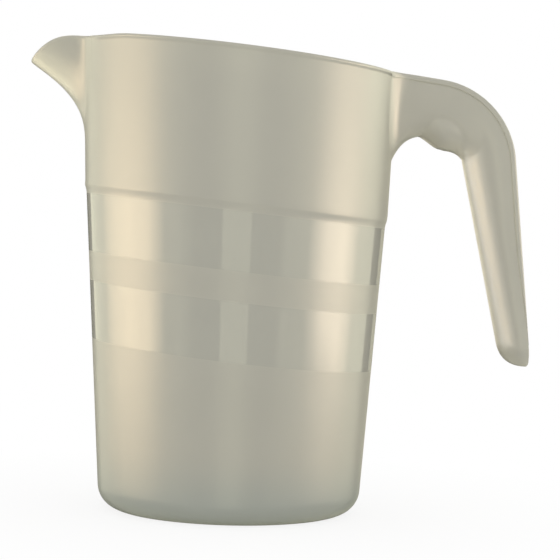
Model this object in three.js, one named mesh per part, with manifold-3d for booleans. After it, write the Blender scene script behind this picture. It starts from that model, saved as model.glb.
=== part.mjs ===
// A stackable jug of frosted plastic with two polished bands, a pouring spout and a hook handle.
// Millimetres, +Z up. The origin is the centre of the base's underside. The handle is on +X, the spout on -X.
// The base is level. The bands, the shoulder and the rim lie in parallel planes that rise towards the spout.

import * as THREE from 'three';
import { mergeVertices } from 'three/addons/utils/BufferGeometryUtils.js';
import Module from 'manifold-3d';

const wasm = await Module();
wasm.setup();

const degrees = THREE.MathUtils.degToRad;
const MERGE_TOLERANCE = 1e-4;

// Walls and joints
const WALL = 2.6;
const FLOOR = 3;
const CLEARANCE = 0.3;
const LAP = 2.4;

// Body: the radius is where the wall's line meets the ground, and levels are heights on the body's axis
const BASE_RADIUS = 53.05;
const BASE_CORNER = 10;
const BODY_TAPER = degrees(3.7);
const SLANT = degrees(5.2);
const BASE_PAN_HEIGHT = 24;
const LOWER_BAND_LEVEL = 64.3;
const LOWER_BAND_HEIGHT = 23.3;
const BAND_SPACING = 11.8;
const UPPER_BAND_HEIGHT = 22.9;

// Collar and rim
const SHOULDER_STEP = 0.9;
const SHOULDER_HEIGHT = 3.4;
const COLLAR_TAPER = degrees(2);
const RIM_LEVEL = 185.3;
const RIM_BEAD_HEIGHT = 2.2;
const RIM_BEAD_PROUD = 0.5;

// Spout
const SPOUT_REACH = 22;
const SPOUT_HEIGHT = 43;
const SPOUT_HALF_ANGLE = degrees(20.5);
const SPOUT_MARGIN = degrees(1.5);
const SPOUT_DROOP = 12.3;
const SPOUT_DROOP_POWER = 2;
const SPOUT_FLARE = 2.35;
const SPOUT_ROUNDING = 1.35;

// Handle: the reach is from the collar, the drop from the rim, and the leans are from upright
const HANDLE_REACH = 56.6;
const HANDLE_DROP = 117.5;
const HANDLE_WALL = 2.4;
const BRIDGE_FALL = degrees(7.2);
const BRIDGE_DEPTH = 24.9;
const HANDLE_BEND_RADIUS = 35.5;
const FINGER_BEND_RADIUS = 9;
const ROOT_ARCH = 9.4;
const GRIP_OUTER_LEAN = degrees(5.6);
const GRIP_INNER_LEAN = degrees(12.6);
const GRIP_END_DEPTH = 10.75;
const GRIP_HALF_WIDTH = 11.5;
const ROOT_HALF_WIDTH = 20;
const ROOT_FOOT_HALF_WIDTH = 11;
const ROOT_FLARE = 13;
const ROOT_SEAT = 1;
const TIP_HEIGHT = 8.5;
const TIP_HALF_WIDTH = 6.5;
const TIP_EDGE = 2.2;
const CHANNEL_SQUARENESS = 3.4;
const RAIL_HEIGHT = 2.2;
const RAIL_PROUD = 0.6;

// Finger rest: its shares are counted in the handle's stretches, from late in the bridge to late in the bend
const FINGER_REST_SHARES = [0.65, 1.7];
const FINGER_REST_THICKNESS = 5.2;
const FINGER_REST_EDGE = 0.5;
const FINGER_REST_HALF_WIDTH = 8.5;

// Fineness of the facets
const RING_SEGMENTS = 60;
const SHOULDER_SHARES = [0.3, 0.7, 1];
const CORNER_STEPS = 5;
const SPOUT_STEPS = { around: 16, up: 10 };
const CHANNEL_STEPS = { around: 14, perStretch: 7 };
const REST_STEPS = { around: 8, along: 10 };

// Finishes
const FROSTED = { color: 0xc9c5b6, roughness: 0.5, metalness: 0 };
const POLISHED = { color: 0xc6c3b4, roughness: 0.08, metalness: 0 };

// Values that follow from the driving dimensions
const SLOPE = Math.tan(SLANT);
const TONGUE = (WALL - CLEARANCE) / 2;
const LOWER_BAND_TOP = LOWER_BAND_LEVEL + LOWER_BAND_HEIGHT;
const UPPER_BAND_LEVEL = LOWER_BAND_TOP + BAND_SPACING;
const UPPER_BAND_TOP = UPPER_BAND_LEVEL + UPPER_BAND_HEIGHT;
const SHOULDER_TOP = UPPER_BAND_TOP + SHOULDER_HEIGHT;
const COLLAR_TOP = RIM_LEVEL - RIM_BEAD_HEIGHT;
const SPOUT_FOOT = RIM_LEVEL - SPOUT_HEIGHT;

// A conical wall: its outer radius at height z is radius + taper * z
const bodyCone = { radius: BASE_RADIUS, taper: Math.tan(BODY_TAPER) };
const collarCone = {
  radius: coneRadius(bodyCone, SHOULDER_TOP) + SHOULDER_STEP - Math.tan(COLLAR_TAPER) * SHOULDER_TOP,
  taper: Math.tan(COLLAR_TAPER),
};

function coneRadius(cone, z) {
  return cone.radius + cone.taper * z;
}

// Height where a cone, inset by some depth, crosses the slanted plane z = level - SLOPE * x
function heightOnLevel(cone, inset, level, azimuth) {
  const lean = SLOPE * Math.cos(azimuth);
  return (level - lean * (cone.radius - inset)) / (1 + lean * cone.taper);
}

// A profile point is either { r, z }, level all round, or { cone, inset, level }, on a slanted plane
function placeOnProfile(point, azimuth) {
  if (point.cone === undefined) return point;
  const z = heightOnLevel(point.cone, point.inset, point.level, azimuth);
  return { r: coneRadius(point.cone, z) - point.inset, z };
}

// Merges shared corners, drops collapsed triangles and turns the faces outwards
function closed(geometry) {
  geometry.deleteAttribute('normal');
  geometry.deleteAttribute('uv');
  const merged = mergeVertices(geometry, MERGE_TOLERANCE);
  const corner = [0, 1, 2].map(() => new THREE.Vector3());
  const position = merged.getAttribute('position');
  const triangles = [];
  let volume = 0;
  for (let i = 0; i < merged.index.count; i += 3) {
    const triangle = [0, 1, 2].map((k) => merged.index.getX(i + k));
    if (new Set(triangle).size < 3) continue;
    triangle.forEach((index, k) => corner[k].fromBufferAttribute(position, index));
    volume += corner[0].dot(corner[1].cross(corner[2]));
    triangles.push(triangle);
  }
  merged.setIndex(triangles.flatMap(([a, b, c]) => (volume > 0 ? [a, b, c] : [a, c, b])));
  return merged;
}

// A closed profile turned round the axis, each of its points at its own level
function slantedLathe(profile) {
  const outline = profile.map((point) => {
    const { r, z } = placeOnProfile(point, Math.PI / 2);
    return new THREE.Vector2(r, z);
  });
  const geometry = new THREE.LatheGeometry(outline, RING_SEGMENTS);
  const position = geometry.getAttribute('position');
  for (let i = 0; i <= RING_SEGMENTS; i += 1) {
    const azimuth = ((i % RING_SEGMENTS) / RING_SEGMENTS) * 2 * Math.PI;
    profile.forEach((point, j) => {
      const { r, z } = placeOnProfile(point, azimuth);
      position.setXYZ(i * profile.length + j, r * Math.cos(azimuth), r * Math.sin(azimuth), z);
    });
  }
  return closed(geometry);
}

// A box bent into shape: place takes u, v and w, each from 0 to 1, to a point in space
function bentBox(uSteps, vSteps, wSteps, place) {
  const geometry = new THREE.BoxGeometry(1, 1, 1, uSteps, vSteps, wSteps);
  const position = geometry.getAttribute('position');
  for (let i = 0; i < position.count; i += 1) {
    const point = place(position.getX(i) + 0.5, position.getY(i) + 0.5, position.getZ(i) + 0.5);
    position.setXYZ(i, point.x, point.y, point.z);
  }
  return closed(geometry);
}

function toSolid(geometry) {
  return new wasm.Manifold(new wasm.Mesh({
    numProp: 3,
    vertProperties: new Float32Array(geometry.getAttribute('position').array),
    triVerts: new Uint32Array(geometry.index.array),
  }));
}

function toGeometry(solid) {
  const mesh = solid.getMesh();
  const geometry = new THREE.BufferGeometry();
  geometry.setAttribute('position', new THREE.BufferAttribute(new Float32Array(mesh.vertProperties), 3));
  geometry.setIndex(new THREE.BufferAttribute(new Uint32Array(mesh.triVerts), 1));
  return geometry;
}

// Lap joints between stacked walls: the lower wall keeps its outer half as a tongue up to the joint's level,
// and the upper wall's inner half hangs down behind it
function lapTop(cone, level) {
  return [
    { cone, inset: 0, level },
    { cone, inset: TONGUE, level },
    { cone, inset: TONGUE, level: level - LAP },
    { cone, inset: WALL, level: level - LAP },
  ];
}

function lapBottom(cone, level) {
  return [
    { cone, inset: WALL, level: level - LAP + CLEARANCE },
    { cone, inset: TONGUE + CLEARANCE, level: level - LAP + CLEARANCE },
    { cone, inset: TONGUE + CLEARANCE, level: level + CLEARANCE },
    { cone, inset: 0, level: level + CLEARANCE },
  ];
}

function levelLapTop(z) {
  return lapTop(bodyCone, z).map((point) => levelPoint(point));
}

function levelLapBottom(z) {
  return lapBottom(bodyCone, z).map((point) => levelPoint(point));
}

function levelPoint({ cone, inset, level }) {
  return { r: coneRadius(cone, level) - inset, z: level };
}

function closeLoop(profile) {
  return [...profile, profile[0]];
}

// Rounded corner between a level floor at height z and the tapered wall, from the floor up
function roundedCorner(inset, z, radius) {
  const slope = bodyCone.taper;
  const centre = coneRadius(bodyCone, z + radius) - inset - radius * Math.hypot(1, slope);
  const start = -Math.PI / 2;
  const sweep = Math.PI / 2 - BODY_TAPER;
  return Array.from({ length: CORNER_STEPS + 1 }, (_, i) => {
    const angle = start + (sweep * i) / CORNER_STEPS;
    return { r: centre + radius * Math.cos(angle), z: z + radius + radius * Math.sin(angle) };
  });
}

function basePan() {
  const outside = roundedCorner(0, 0, BASE_CORNER);
  const inside = roundedCorner(WALL, FLOOR, Math.max(BASE_CORNER - WALL, WALL));
  return slantedLathe([
    { r: 0, z: 0 },
    ...outside,
    ...levelLapTop(BASE_PAN_HEIGHT),
    ...inside.reverse(),
    { r: 0, z: FLOOR },
  ]);
}

function lowerWall() {
  return slantedLathe(closeLoop([...levelLapBottom(BASE_PAN_HEIGHT), ...lapTop(bodyCone, LOWER_BAND_LEVEL)]));
}

function band(bottomLevel, topLevel) {
  return slantedLathe(closeLoop([...lapBottom(bodyCone, bottomLevel), ...lapTop(bodyCone, topLevel)]));
}

// The collar's shoulder is a quarter round between the body's wall and its own, inside and out
function shoulder(inset) {
  const foot = UPPER_BAND_TOP + CLEARANCE;
  return SHOULDER_SHARES.map((share) => {
    const stepOut = Math.sin((share * Math.PI) / 2) * (share < 1 ? SHOULDER_STEP : 0);
    const cone = share < 1 ? bodyCone : collarCone;
    return { cone, inset: inset - stepOut, level: foot + (SHOULDER_TOP - foot) * share };
  });
}

function collarBlank() {
  return slantedLathe(closeLoop([
    ...lapBottom(bodyCone, UPPER_BAND_TOP),
    ...shoulder(0),
    ...lapTop(collarCone, COLLAR_TOP),
    ...shoulder(WALL).reverse(),
  ]));
}

function rimBeadBlank() {
  const proud = -RIM_BEAD_PROUD;
  const [hangInner, hangOuter, seat] = lapBottom(collarCone, COLLAR_TOP);
  return slantedLathe(closeLoop([
    hangInner,
    hangOuter,
    seat,
    { cone: collarCone, inset: proud, level: COLLAR_TOP + CLEARANCE },
    { cone: collarCone, inset: proud, level: RIM_LEVEL - RIM_BEAD_PROUD },
    { cone: collarCone, inset: 0, level: RIM_LEVEL },
    { cone: collarCone, inset: WALL, level: RIM_LEVEL },
  ]));
}

// Spout: the collar's wall swells outwards between its foot and its lip, most on the spout's middle line.
// The angle is measured from -X.
function beak(angle) {
  const share = Math.min(Math.abs(angle) / SPOUT_HALF_ANGLE, 1);
  return (1 - share * share) ** SPOUT_ROUNDING;
}

function collarHeight(angle, level) {
  return heightOnLevel(collarCone, 0, level, Math.PI + angle);
}

function lipHeight(angle) {
  const swell = beak(angle);
  const rise = SLOPE * SPOUT_REACH * swell * Math.cos(angle);
  return collarHeight(angle, RIM_LEVEL) + rise - SPOUT_DROOP * swell ** SPOUT_DROOP_POWER;
}

function spoutSurface(angle, z) {
  const foot = collarHeight(angle, SPOUT_FOOT);
  const climb = Math.max(z - foot, 0) / (lipHeight(angle) - foot);
  const r = coneRadius(collarCone, z) + SPOUT_REACH * beak(angle) * climb ** SPOUT_FLARE;
  return new THREE.Vector3(-r * Math.cos(angle), -r * Math.sin(angle), z);
}

// A point inside the spout's wall, at a depth below its outer surface
function insideSpout(angle, z, depth) {
  const small = 1e-3;
  const point = spoutSurface(angle, z);
  const around = spoutSurface(angle + small, z).sub(spoutSurface(angle - small, z));
  const up = spoutSurface(angle, z + small).sub(spoutSurface(angle, z - small));
  const outward = around.cross(up).normalize();
  return point.addScaledVector(outward, -depth);
}

function spoutPlate(halfAngle, bottom, top, depths) {
  return bentBox(SPOUT_STEPS.around, SPOUT_STEPS.up, 1, (u, v, w) => {
    const angle = (2 * u - 1) * halfAngle;
    const z = THREE.MathUtils.lerp(bottom(angle), top(angle), v);
    return insideSpout(angle, z, THREE.MathUtils.lerp(depths[0], depths[1], w));
  });
}

// A block that follows the collar's wall, to cut the spout's seat
function collarBlock(halfAngle, bottomLevel, insets) {
  const above = RIM_LEVEL + SPOUT_HEIGHT;
  return bentBox(SPOUT_STEPS.around, 1, 1, (u, v, w) => {
    const azimuth = Math.PI + (2 * u - 1) * halfAngle;
    const inset = THREE.MathUtils.lerp(insets[0], insets[1], w);
    const z = heightOnLevel(collarCone, inset, v < 0.5 ? bottomLevel : above, azimuth);
    const r = coneRadius(collarCone, z) - inset;
    return new THREE.Vector3(r * Math.cos(azimuth), r * Math.sin(azimuth), z);
  });
}

const lapAngle = LAP / coneRadius(collarCone, RIM_LEVEL);
const clearanceAngle = CLEARANCE / coneRadius(collarCone, RIM_LEVEL);
const spoutSeatAngle = SPOUT_HALF_ANGLE + SPOUT_MARGIN;

function spoutSeat() {
  const through = collarBlock(spoutSeatAngle, SPOUT_FOOT, [-2 * WALL, 2 * WALL]);
  const rebate = collarBlock(spoutSeatAngle + lapAngle, SPOUT_FOOT - LAP, [TONGUE, 2 * WALL]);
  return { through: toSolid(through), rebate: toSolid(rebate) };
}

// The spout's plate fills the opening, and its flange laps behind the collar's edge
function spout() {
  const plate = spoutPlate(
    spoutSeatAngle - clearanceAngle,
    (angle) => collarHeight(angle, SPOUT_FOOT + CLEARANCE),
    lipHeight,
    [0, WALL],
  );
  const flange = spoutPlate(
    spoutSeatAngle + lapAngle - clearanceAngle,
    (angle) => collarHeight(angle, SPOUT_FOOT - LAP + CLEARANCE),
    (angle) => Math.min(collarHeight(angle, COLLAR_TOP - LAP - CLEARANCE), lipHeight(angle) - LAP),
    [TONGUE + CLEARANCE, WALL - CLEARANCE / 2],
  );
  return toGeometry(toSolid(plate).add(toSolid(flange)));
}

// Handle outline in the XZ plane: an outer edge and an inner web, each in four matching stretches,
// which are the bridge, the bend, the grip and the tip
function handleOutline() {
  const rimZ = heightOnLevel(collarCone, 0, RIM_LEVEL, 0);
  const rimX = coneRadius(collarCone, rimZ);
  const tipX = rimX + HANDLE_REACH;
  const tipZ = rimZ - HANDLE_DROP;
  const gripEndZ = tipZ + TIP_HEIGHT;
  const outerLean = Math.tan(GRIP_OUTER_LEAN);
  const innerLean = Math.tan(GRIP_INNER_LEAN);
  const outerEnd = new THREE.Vector2(tipX - outerLean * TIP_HEIGHT, gripEndZ);
  const innerEnd = new THREE.Vector2(outerEnd.x - GRIP_END_DEPTH, gripEndZ);
  const undersideZ = rimZ - BRIDGE_DEPTH;

  const fall = Math.tan(BRIDGE_FALL);
  const cornerX = (outerEnd.x - outerLean * (rimZ + fall * rimX - gripEndZ)) / (1 - outerLean * fall);
  const outerCorner = new THREE.Vector2(cornerX, rimZ - fall * (cornerX - rimX));
  const innerCorner = new THREE.Vector2(innerEnd.x - innerLean * (undersideZ - gripEndZ), undersideZ);
  const outerBend = bend(outerCorner, BRIDGE_FALL, GRIP_OUTER_LEAN, HANDLE_BEND_RADIUS);
  const innerBend = bend(innerCorner, 0, GRIP_INNER_LEAN, FINGER_BEND_RADIUS);

  const footZ = undersideZ - ROOT_ARCH;
  const foot = new THREE.Vector2(coneRadius(collarCone, footZ), footZ);
  const archCorner = new THREE.Vector2(foot.x + ROOT_ARCH / 2, undersideZ + ROOT_ARCH / 3);
  const tip = new THREE.Vector2(tipX - TIP_EDGE / 4, tipZ);
  const tipCorner = new THREE.Vector2(innerEnd.x + innerLean * TIP_HEIGHT, tipZ);
  return {
    edge: [
      new THREE.LineCurve(new THREE.Vector2(rimX, rimZ), outerBend.start),
      outerBend.arc,
      new THREE.LineCurve(outerBend.end, outerEnd),
      new THREE.LineCurve(outerEnd, new THREE.Vector2(tipX, tipZ + TIP_EDGE)),
    ],
    web: [
      new THREE.QuadraticBezierCurve(foot, archCorner, innerBend.start),
      innerBend.arc,
      new THREE.LineCurve(innerBend.end, innerEnd),
      new THREE.QuadraticBezierCurve(innerEnd, tipCorner, tip),
    ],
  };
}

// A round between a line that falls away from the body and one that leans out as it goes down
function bend(corner, fall, lean, radius) {
  const startAngle = Math.PI / 2 - fall;
  const endAngle = lean;
  const tangent = radius * Math.tan((startAngle - endAngle) / 2);
  const start = new THREE.Vector2(corner.x - tangent * Math.cos(fall), corner.y + tangent * Math.sin(fall));
  const centre = new THREE.Vector2(
    start.x - radius * Math.cos(startAngle),
    start.y - radius * Math.sin(startAngle),
  );
  const arc = new THREE.EllipseCurve(centre.x, centre.y, radius, radius, startAngle, endAngle, true);
  return { start, arc, end: arc.getPoint(1) };
}

const outline = handleOutline();
const stretches = outline.edge.length;
const gripEnd = (stretches - 1) / stretches;

// Edge, web and depth of the trough at v, from 0 at the root to 1 at the tip
function handleStation(v) {
  const stretch = Math.min(Math.floor(v * stretches), stretches - 1);
  const along = v * stretches - stretch;
  const edge = outline.edge[stretch].getPoint(along);
  const web = outline.web[stretch].getPoint(along);
  const inward = web.clone().sub(edge);
  return { edge, depth: inward.length(), inward: inward.normalize() };
}

// Half width of the trough: it flares where it meets the collar, more at its edge than at its web
function handleHalfWidth(v, share) {
  const fromRoot = handleStation(v).edge.x - outline.edge[0].v1.x;
  const flare = Math.max(1 - fromRoot / ROOT_FLARE, 0) ** 2;
  const root = THREE.MathUtils.lerp(ROOT_HALF_WIDTH, ROOT_FOOT_HALF_WIDTH, share);
  const narrowing = Math.max((v - gripEnd) / (1 - gripEnd), 0) ** 2;
  const plain = THREE.MathUtils.lerp(GRIP_HALF_WIDTH, TIP_HALF_WIDTH, narrowing);
  return THREE.MathUtils.lerp(plain, root, flare);
}

// Puts a point of the handle's root on a cylinder-like surface that stands off the collar's wall
function onCollar(point, standOff) {
  const r = coneRadius(collarCone, point.z) + standOff;
  point.x = Math.sqrt(r * r - point.y * point.y);
  return point;
}

// The rails end where the grip does. Up to there the trough's edge stops below them.
function setDown(v) {
  return v <= gripEnd ? RAIL_HEIGHT + CLEARANCE : 0;
}

// A point of the trough's section at v. around runs from -1 to 1 over the U, and depth is below its outside.
// The two ends of the U can be lifted past the trough's edge.
function channelPoint(v, around, depth, lift) {
  const { edge, depth: fullDepth, inward } = handleStation(v);
  const start = setDown(v);
  const angle = (around * Math.PI) / 2;
  const power = 2 / CHANNEL_SQUARENESS;
  const across = Math.sign(around) * Math.abs(Math.sin(angle)) ** power;
  const inside = Math.max(fullDepth - start - depth, TIP_EDGE / 4);
  const share = Math.abs(around) === 1 ? -lift / inside : Math.cos(angle) ** power;
  const drop = start + inside * share;
  const halfWidth = Math.max(handleHalfWidth(v, share) - depth, TIP_EDGE / 2);
  return new THREE.Vector3(edge.x + inward.x * drop, halfWidth * across, edge.y + inward.y * drop);
}

function channel() {
  return bentBox(CHANNEL_STEPS.around, stretches * CHANNEL_STEPS.perStretch, 1, (u, v, w) => {
    const point = channelPoint(v, 2 * u - 1, w * HANDLE_WALL, 0);
    return v === 0 ? onCollar(point, CLEARANCE - ROOT_SEAT) : point;
  });
}

// The groove in the collar that the trough's root sits in, open at its top under the rim bead
function rootGroove() {
  const reach = 1 / stretches / CHANNEL_STEPS.perStretch;
  const depths = [-2 * CLEARANCE, HANDLE_WALL + 2 * CLEARANCE];
  return toSolid(bentBox(CHANNEL_STEPS.around, 1, 1, (u, v, w) => {
    const depth = THREE.MathUtils.lerp(depths[0], depths[1], w);
    const point = channelPoint(v * reach, 2 * u - 1, depth, RIM_BEAD_HEIGHT);
    return v === 0 ? onCollar(point, -ROOT_SEAT) : point;
  }));
}

// A rail along one open edge of the trough. Side is -1 for the near edge and 1 for the far one.
function rail(side) {
  return bentBox((stretches - 1) * CHANNEL_STEPS.perStretch, 1, 1, (u, v, w) => {
    const along = u * gripEnd;
    const { edge, inward } = handleStation(along);
    const outerSide = handleHalfWidth(along, 0) + RAIL_PROUD;
    const y = side * (outerSide - v * (HANDLE_WALL + RAIL_PROUD));
    const drop = w * RAIL_HEIGHT;
    const point = new THREE.Vector3(edge.x + inward.x * drop, y, edge.y + inward.y * drop);
    return u === 0 ? onCollar(point, RIM_BEAD_PROUD + CLEARANCE) : point;
  });
}

// A swelling under the bend that fills the hook's inner corner, thickest in its middle
function fingerRest() {
  const [start, end] = FINGER_REST_SHARES.map((share) => share / stretches);
  return bentBox(REST_STEPS.around, REST_STEPS.along, 1, (u, v, w) => {
    const along = THREE.MathUtils.lerp(start, end, v);
    const side = 2 * u - 1;
    const y = side * FINGER_REST_HALF_WIDTH;
    const { edge, depth, inward } = handleStation(along);
    const halfWidth = handleHalfWidth(along, 1);
    const share = (1 - Math.abs(y / halfWidth) ** CHANNEL_SQUARENESS) ** (1 / CHANNEL_SQUARENESS);
    const mouth = setDown(along);
    const swell = FINGER_REST_THICKNESS * Math.sin(Math.PI * v) * (1 - side * side);
    const drop = mouth + (depth - mouth) * share + CLEARANCE + w * (FINGER_REST_EDGE + swell);
    return new THREE.Vector3(edge.x + inward.x * drop, y, edge.y + inward.y * drop);
  });
}

function piece(name, geometry, finish) {
  const mesh = new THREE.Mesh(geometry, new THREE.MeshStandardMaterial(finish));
  mesh.name = name;
  return mesh;
}

function jug() {
  const seat = spoutSeat();
  const collar = toSolid(collarBlank()).subtract(seat.through).subtract(seat.rebate).subtract(rootGroove());
  const rimBead = toSolid(rimBeadBlank()).subtract(seat.through);
  const group = new THREE.Group();
  group.add(
    piece('base_pan', basePan(), FROSTED),
    piece('lower_wall', lowerWall(), FROSTED),
    piece('lower_polished_band', band(LOWER_BAND_LEVEL, LOWER_BAND_TOP), POLISHED),
    piece('middle_frosted_band', band(LOWER_BAND_TOP, UPPER_BAND_LEVEL), FROSTED),
    piece('upper_polished_band', band(UPPER_BAND_LEVEL, UPPER_BAND_TOP), POLISHED),
    piece('collar', toGeometry(collar), FROSTED),
    piece('rim_bead', toGeometry(rimBead), FROSTED),
    piece('spout', spout(), FROSTED),
    piece('handle_channel', channel(), FROSTED),
    piece('handle_rail_near', rail(-1), FROSTED),
    piece('handle_rail_far', rail(1), FROSTED),
    piece('finger_rest', fingerRest(), FROSTED),
  );
  return group;
}

export default jug();
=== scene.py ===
"""Looks of a stackable pitcher of frosted plastic with polished bands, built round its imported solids.

Metres, +Z up. The origin is the centre of the base's underside, the handle is on +X and the spout on -X.
The base is level. The bands, the shoulder and the rim lie in parallel planes that rise towards the spout.
"""

from __future__ import annotations

import logging
import math
from dataclasses import dataclass, field
from enum import Enum
from functools import cache
from typing import Callable

import bmesh
import bpy
import numpy as np
from mathutils import Matrix, Vector

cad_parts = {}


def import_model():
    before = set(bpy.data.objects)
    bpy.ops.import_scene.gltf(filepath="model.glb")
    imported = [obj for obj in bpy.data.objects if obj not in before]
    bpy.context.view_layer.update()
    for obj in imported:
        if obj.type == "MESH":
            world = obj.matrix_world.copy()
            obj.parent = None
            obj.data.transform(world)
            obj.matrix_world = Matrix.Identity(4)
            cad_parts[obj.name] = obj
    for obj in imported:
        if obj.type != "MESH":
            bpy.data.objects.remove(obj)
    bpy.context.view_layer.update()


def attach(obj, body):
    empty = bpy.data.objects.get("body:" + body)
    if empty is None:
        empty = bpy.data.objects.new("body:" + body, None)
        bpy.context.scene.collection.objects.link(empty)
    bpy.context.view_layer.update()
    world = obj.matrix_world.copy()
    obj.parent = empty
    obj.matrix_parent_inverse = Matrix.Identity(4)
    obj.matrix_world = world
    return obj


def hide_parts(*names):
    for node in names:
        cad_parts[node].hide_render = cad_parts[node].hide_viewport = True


log = logging.getLogger("pitcher")

MM = 0.001
BODY = "root"
FULL_TURN = 2 * math.pi
MERGE_DISTANCE = 0.0005 * MM
SMOOTH_BELOW = math.radians(32)
LEAST_LENGTH = 1e-30
WHITE = "ffffff"
SURROUND_TINT = "fdfbdc"

Array = np.ndarray
Socket = bpy.types.NodeSocket
Stretch = Callable[[Array], Array]
Edge = Callable[[Array, float], Array]


class Slot(Enum):
    """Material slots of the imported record."""

    FROSTED = "frosted_plastic"
    POLISHED = "polished_plastic"


@dataclass(frozen=True)
class Solid:
    """Points and faces of a piece, and which faces are welds that only meet more plastic."""

    points: Array
    faces: Array
    welds: Array


def linear(hex_colour: str) -> tuple[float, float, float, float]:
    """Turns an sRGB colour into linear light.

    Args:
        hex_colour: Six hex digits.

    Returns:
        Red, green, blue and an alpha of 1.
    """
    parts = np.array([int(hex_colour[i : i + 2], 16) for i in (0, 2, 4)]) / 255
    light = np.where(parts <= 0.04045, parts / 12.92, ((parts + 0.055) / 1.055) ** 2.4)
    return (*(float(x) for x in light), 1.0)


class Nodes:
    """An emptied node tree, with a short way to add each kind of node that the looks need."""

    def __init__(self, owner: bpy.types.ID) -> None:
        """Empties a node tree.

        Args:
            owner: The material, lamp or world that has the tree.
        """
        owner.use_nodes = True
        self.tree = owner.node_tree
        self.tree.nodes.clear()

    def add(
        self, kind: str, inputs: dict[str | int, object] | None = None, **settings: object
    ) -> bpy.types.NodeOutputs:
        """Adds one node with its settings, and sets or links its inputs.

        Args:
            kind: The node's type name, without the word that all of them start with.
            inputs: Values or output sockets for its inputs, by name or number.
            settings: Properties of the node.

        Returns:
            The node's outputs.
        """
        made = self.tree.nodes.new("ShaderNode" + kind)
        for name, value in settings.items():
            setattr(made, name, value)
        for name, value in (inputs or {}).items():
            if isinstance(value, Socket):
                self.tree.links.new(value, made.inputs[name])
            else:
                made.inputs[name].default_value = value
        return made.outputs

    def place(self, kind: str = "Object") -> Socket:
        """Texture coordinates of one kind."""
        return self.add("TexCoord")[kind]

    def axes(self, vector: Socket) -> bpy.types.NodeOutputs:
        """X, Y and Z of a vector."""
        return self.add("SeparateXYZ", {"Vector": vector})

    def ramp(
        self,
        value: Socket,
        start: float,
        end: float,
        low: float = 0.0,
        high: float = 1.0,
        kind: str = "LINEAR",
    ) -> Socket:
        """Takes a value from a start and an end to a low and a high, and holds it there outside them."""
        inputs = {"Value": value, "From Min": start, "From Max": end, "To Min": low, "To Max": high}
        return self.add("MapRange", inputs, interpolation_type=kind)["Result"]

    def plateau(self, value: Socket, start: float, end: float, fades: tuple[float, ...]) -> Socket:
        """1 between a start and an end, fading to 0 at each of them over its own width."""
        rise = self.ramp(value, start, start + fades[0])
        return self.product(rise, self.ramp(value, end, end - fades[1]))

    def product(self, first: Socket, second: Socket) -> Socket:
        """Two values multiplied."""
        return self.add("Math", {0: first, 1: second}, operation="MULTIPLY")[0]

    def greater(self, first: Socket, second: Socket) -> Socket:
        """The greater of two values."""
        return self.add("Math", {0: first, 1: second}, operation="MAXIMUM")[0]

    def number(self, share: Socket, low: Socket | float, high: Socket | float) -> Socket:
        """A number that goes from one to another by a share."""
        return self.add("Mix", {0: share, 2: low, 3: high})[0]

    def colour(self, share: Socket, low: Socket | tuple, high: Socket | tuple) -> Socket:
        """A colour that goes from one to another by a share."""
        return self.add("Mix", {0: share, 6: low, 7: high}, data_type="RGBA")[2]

    def show(self, kind: str, surface: Socket) -> None:
        """Ends the tree in the output of a material, a light or the world."""
        self.add("Output" + kind, {"Surface": surface})


@dataclass(frozen=True)
class Noise:
    """Random variation all through a piece: the size of its spots, and how much finer variation it has."""

    size: float
    detail: float
    roughness: float

    def value(self, nodes: Nodes, place: Socket) -> Socket:
        """Values round a half, by place."""
        settings = {"Scale": 1 / self.size, "Detail": self.detail, "Roughness": self.roughness}
        return nodes.add("TexNoise", {"Vector": place, **settings})["Fac"]


@dataclass(frozen=True)
class MouldedPlastic:
    """Milky polypropylene as it leaves the mould.

    The wall scatters most light and lets some through. The mould's skin gives the gloss: blasted steel leaves
    a satin, and polished steel a mirror, which is drawn as a clear coat on the same milky wall. Towards the
    foot the colour darkens: painted shade for the pan, which gets less light.
    """

    name: str
    colour: str
    cloud_colour: str
    foot_shade_colour: str
    roughness: tuple[float, float]
    grain: Noise
    grain_depth: float
    grain_range: tuple[float, float] = (0.3, 0.7)
    transmission: float = 0.25
    specular: float = 0.5
    coat: float = 0.0
    coat_roughness: float = 0.05
    ior: float = 1.49
    clouds: Noise = Noise(30 * MM, 3.0, 0.55)
    foot_shade_levels: tuple[float, float] = (3 * MM, 30 * MM)

    @cache
    def material(self) -> bpy.types.Material:
        """Makes the node material, once.

        Returns:
            A material that reads Object coordinates only.
        """
        made = bpy.data.materials.new(self.name)
        nodes = Nodes(made)
        place = nodes.place()
        cloudy = nodes.colour(self.clouds.value(nodes, place), linear(self.colour), linear(self.cloud_colour))
        # Painted shade: below the foot levels the colour darkens towards the foot colour, where the pan gets
        # less light
        height = nodes.ramp(nodes.axes(place)["Z"], *self.foot_shade_levels, kind="SMOOTHSTEP")
        grain = self.grain.value(nodes, place)
        relief = nodes.add("Bump", {"Strength": 1.0, "Distance": self.grain_depth, "Height": grain})["Normal"]
        surface = nodes.add(
            "BsdfPrincipled",
            {
                "Base Color": nodes.colour(height, linear(self.foot_shade_colour), cloudy),
                "Roughness": nodes.ramp(grain, *self.grain_range, *self.roughness),
                "IOR": self.ior,
                "Specular IOR Level": self.specular,
                "Transmission Weight": self.transmission,
                "Coat Weight": self.coat,
                "Coat Roughness": self.coat_roughness,
                "Coat IOR": self.ior,
                "Normal": relief,
                "Coat Normal": relief,
            },
        )
        nodes.show("Material", surface["BSDF"])
        return made


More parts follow.
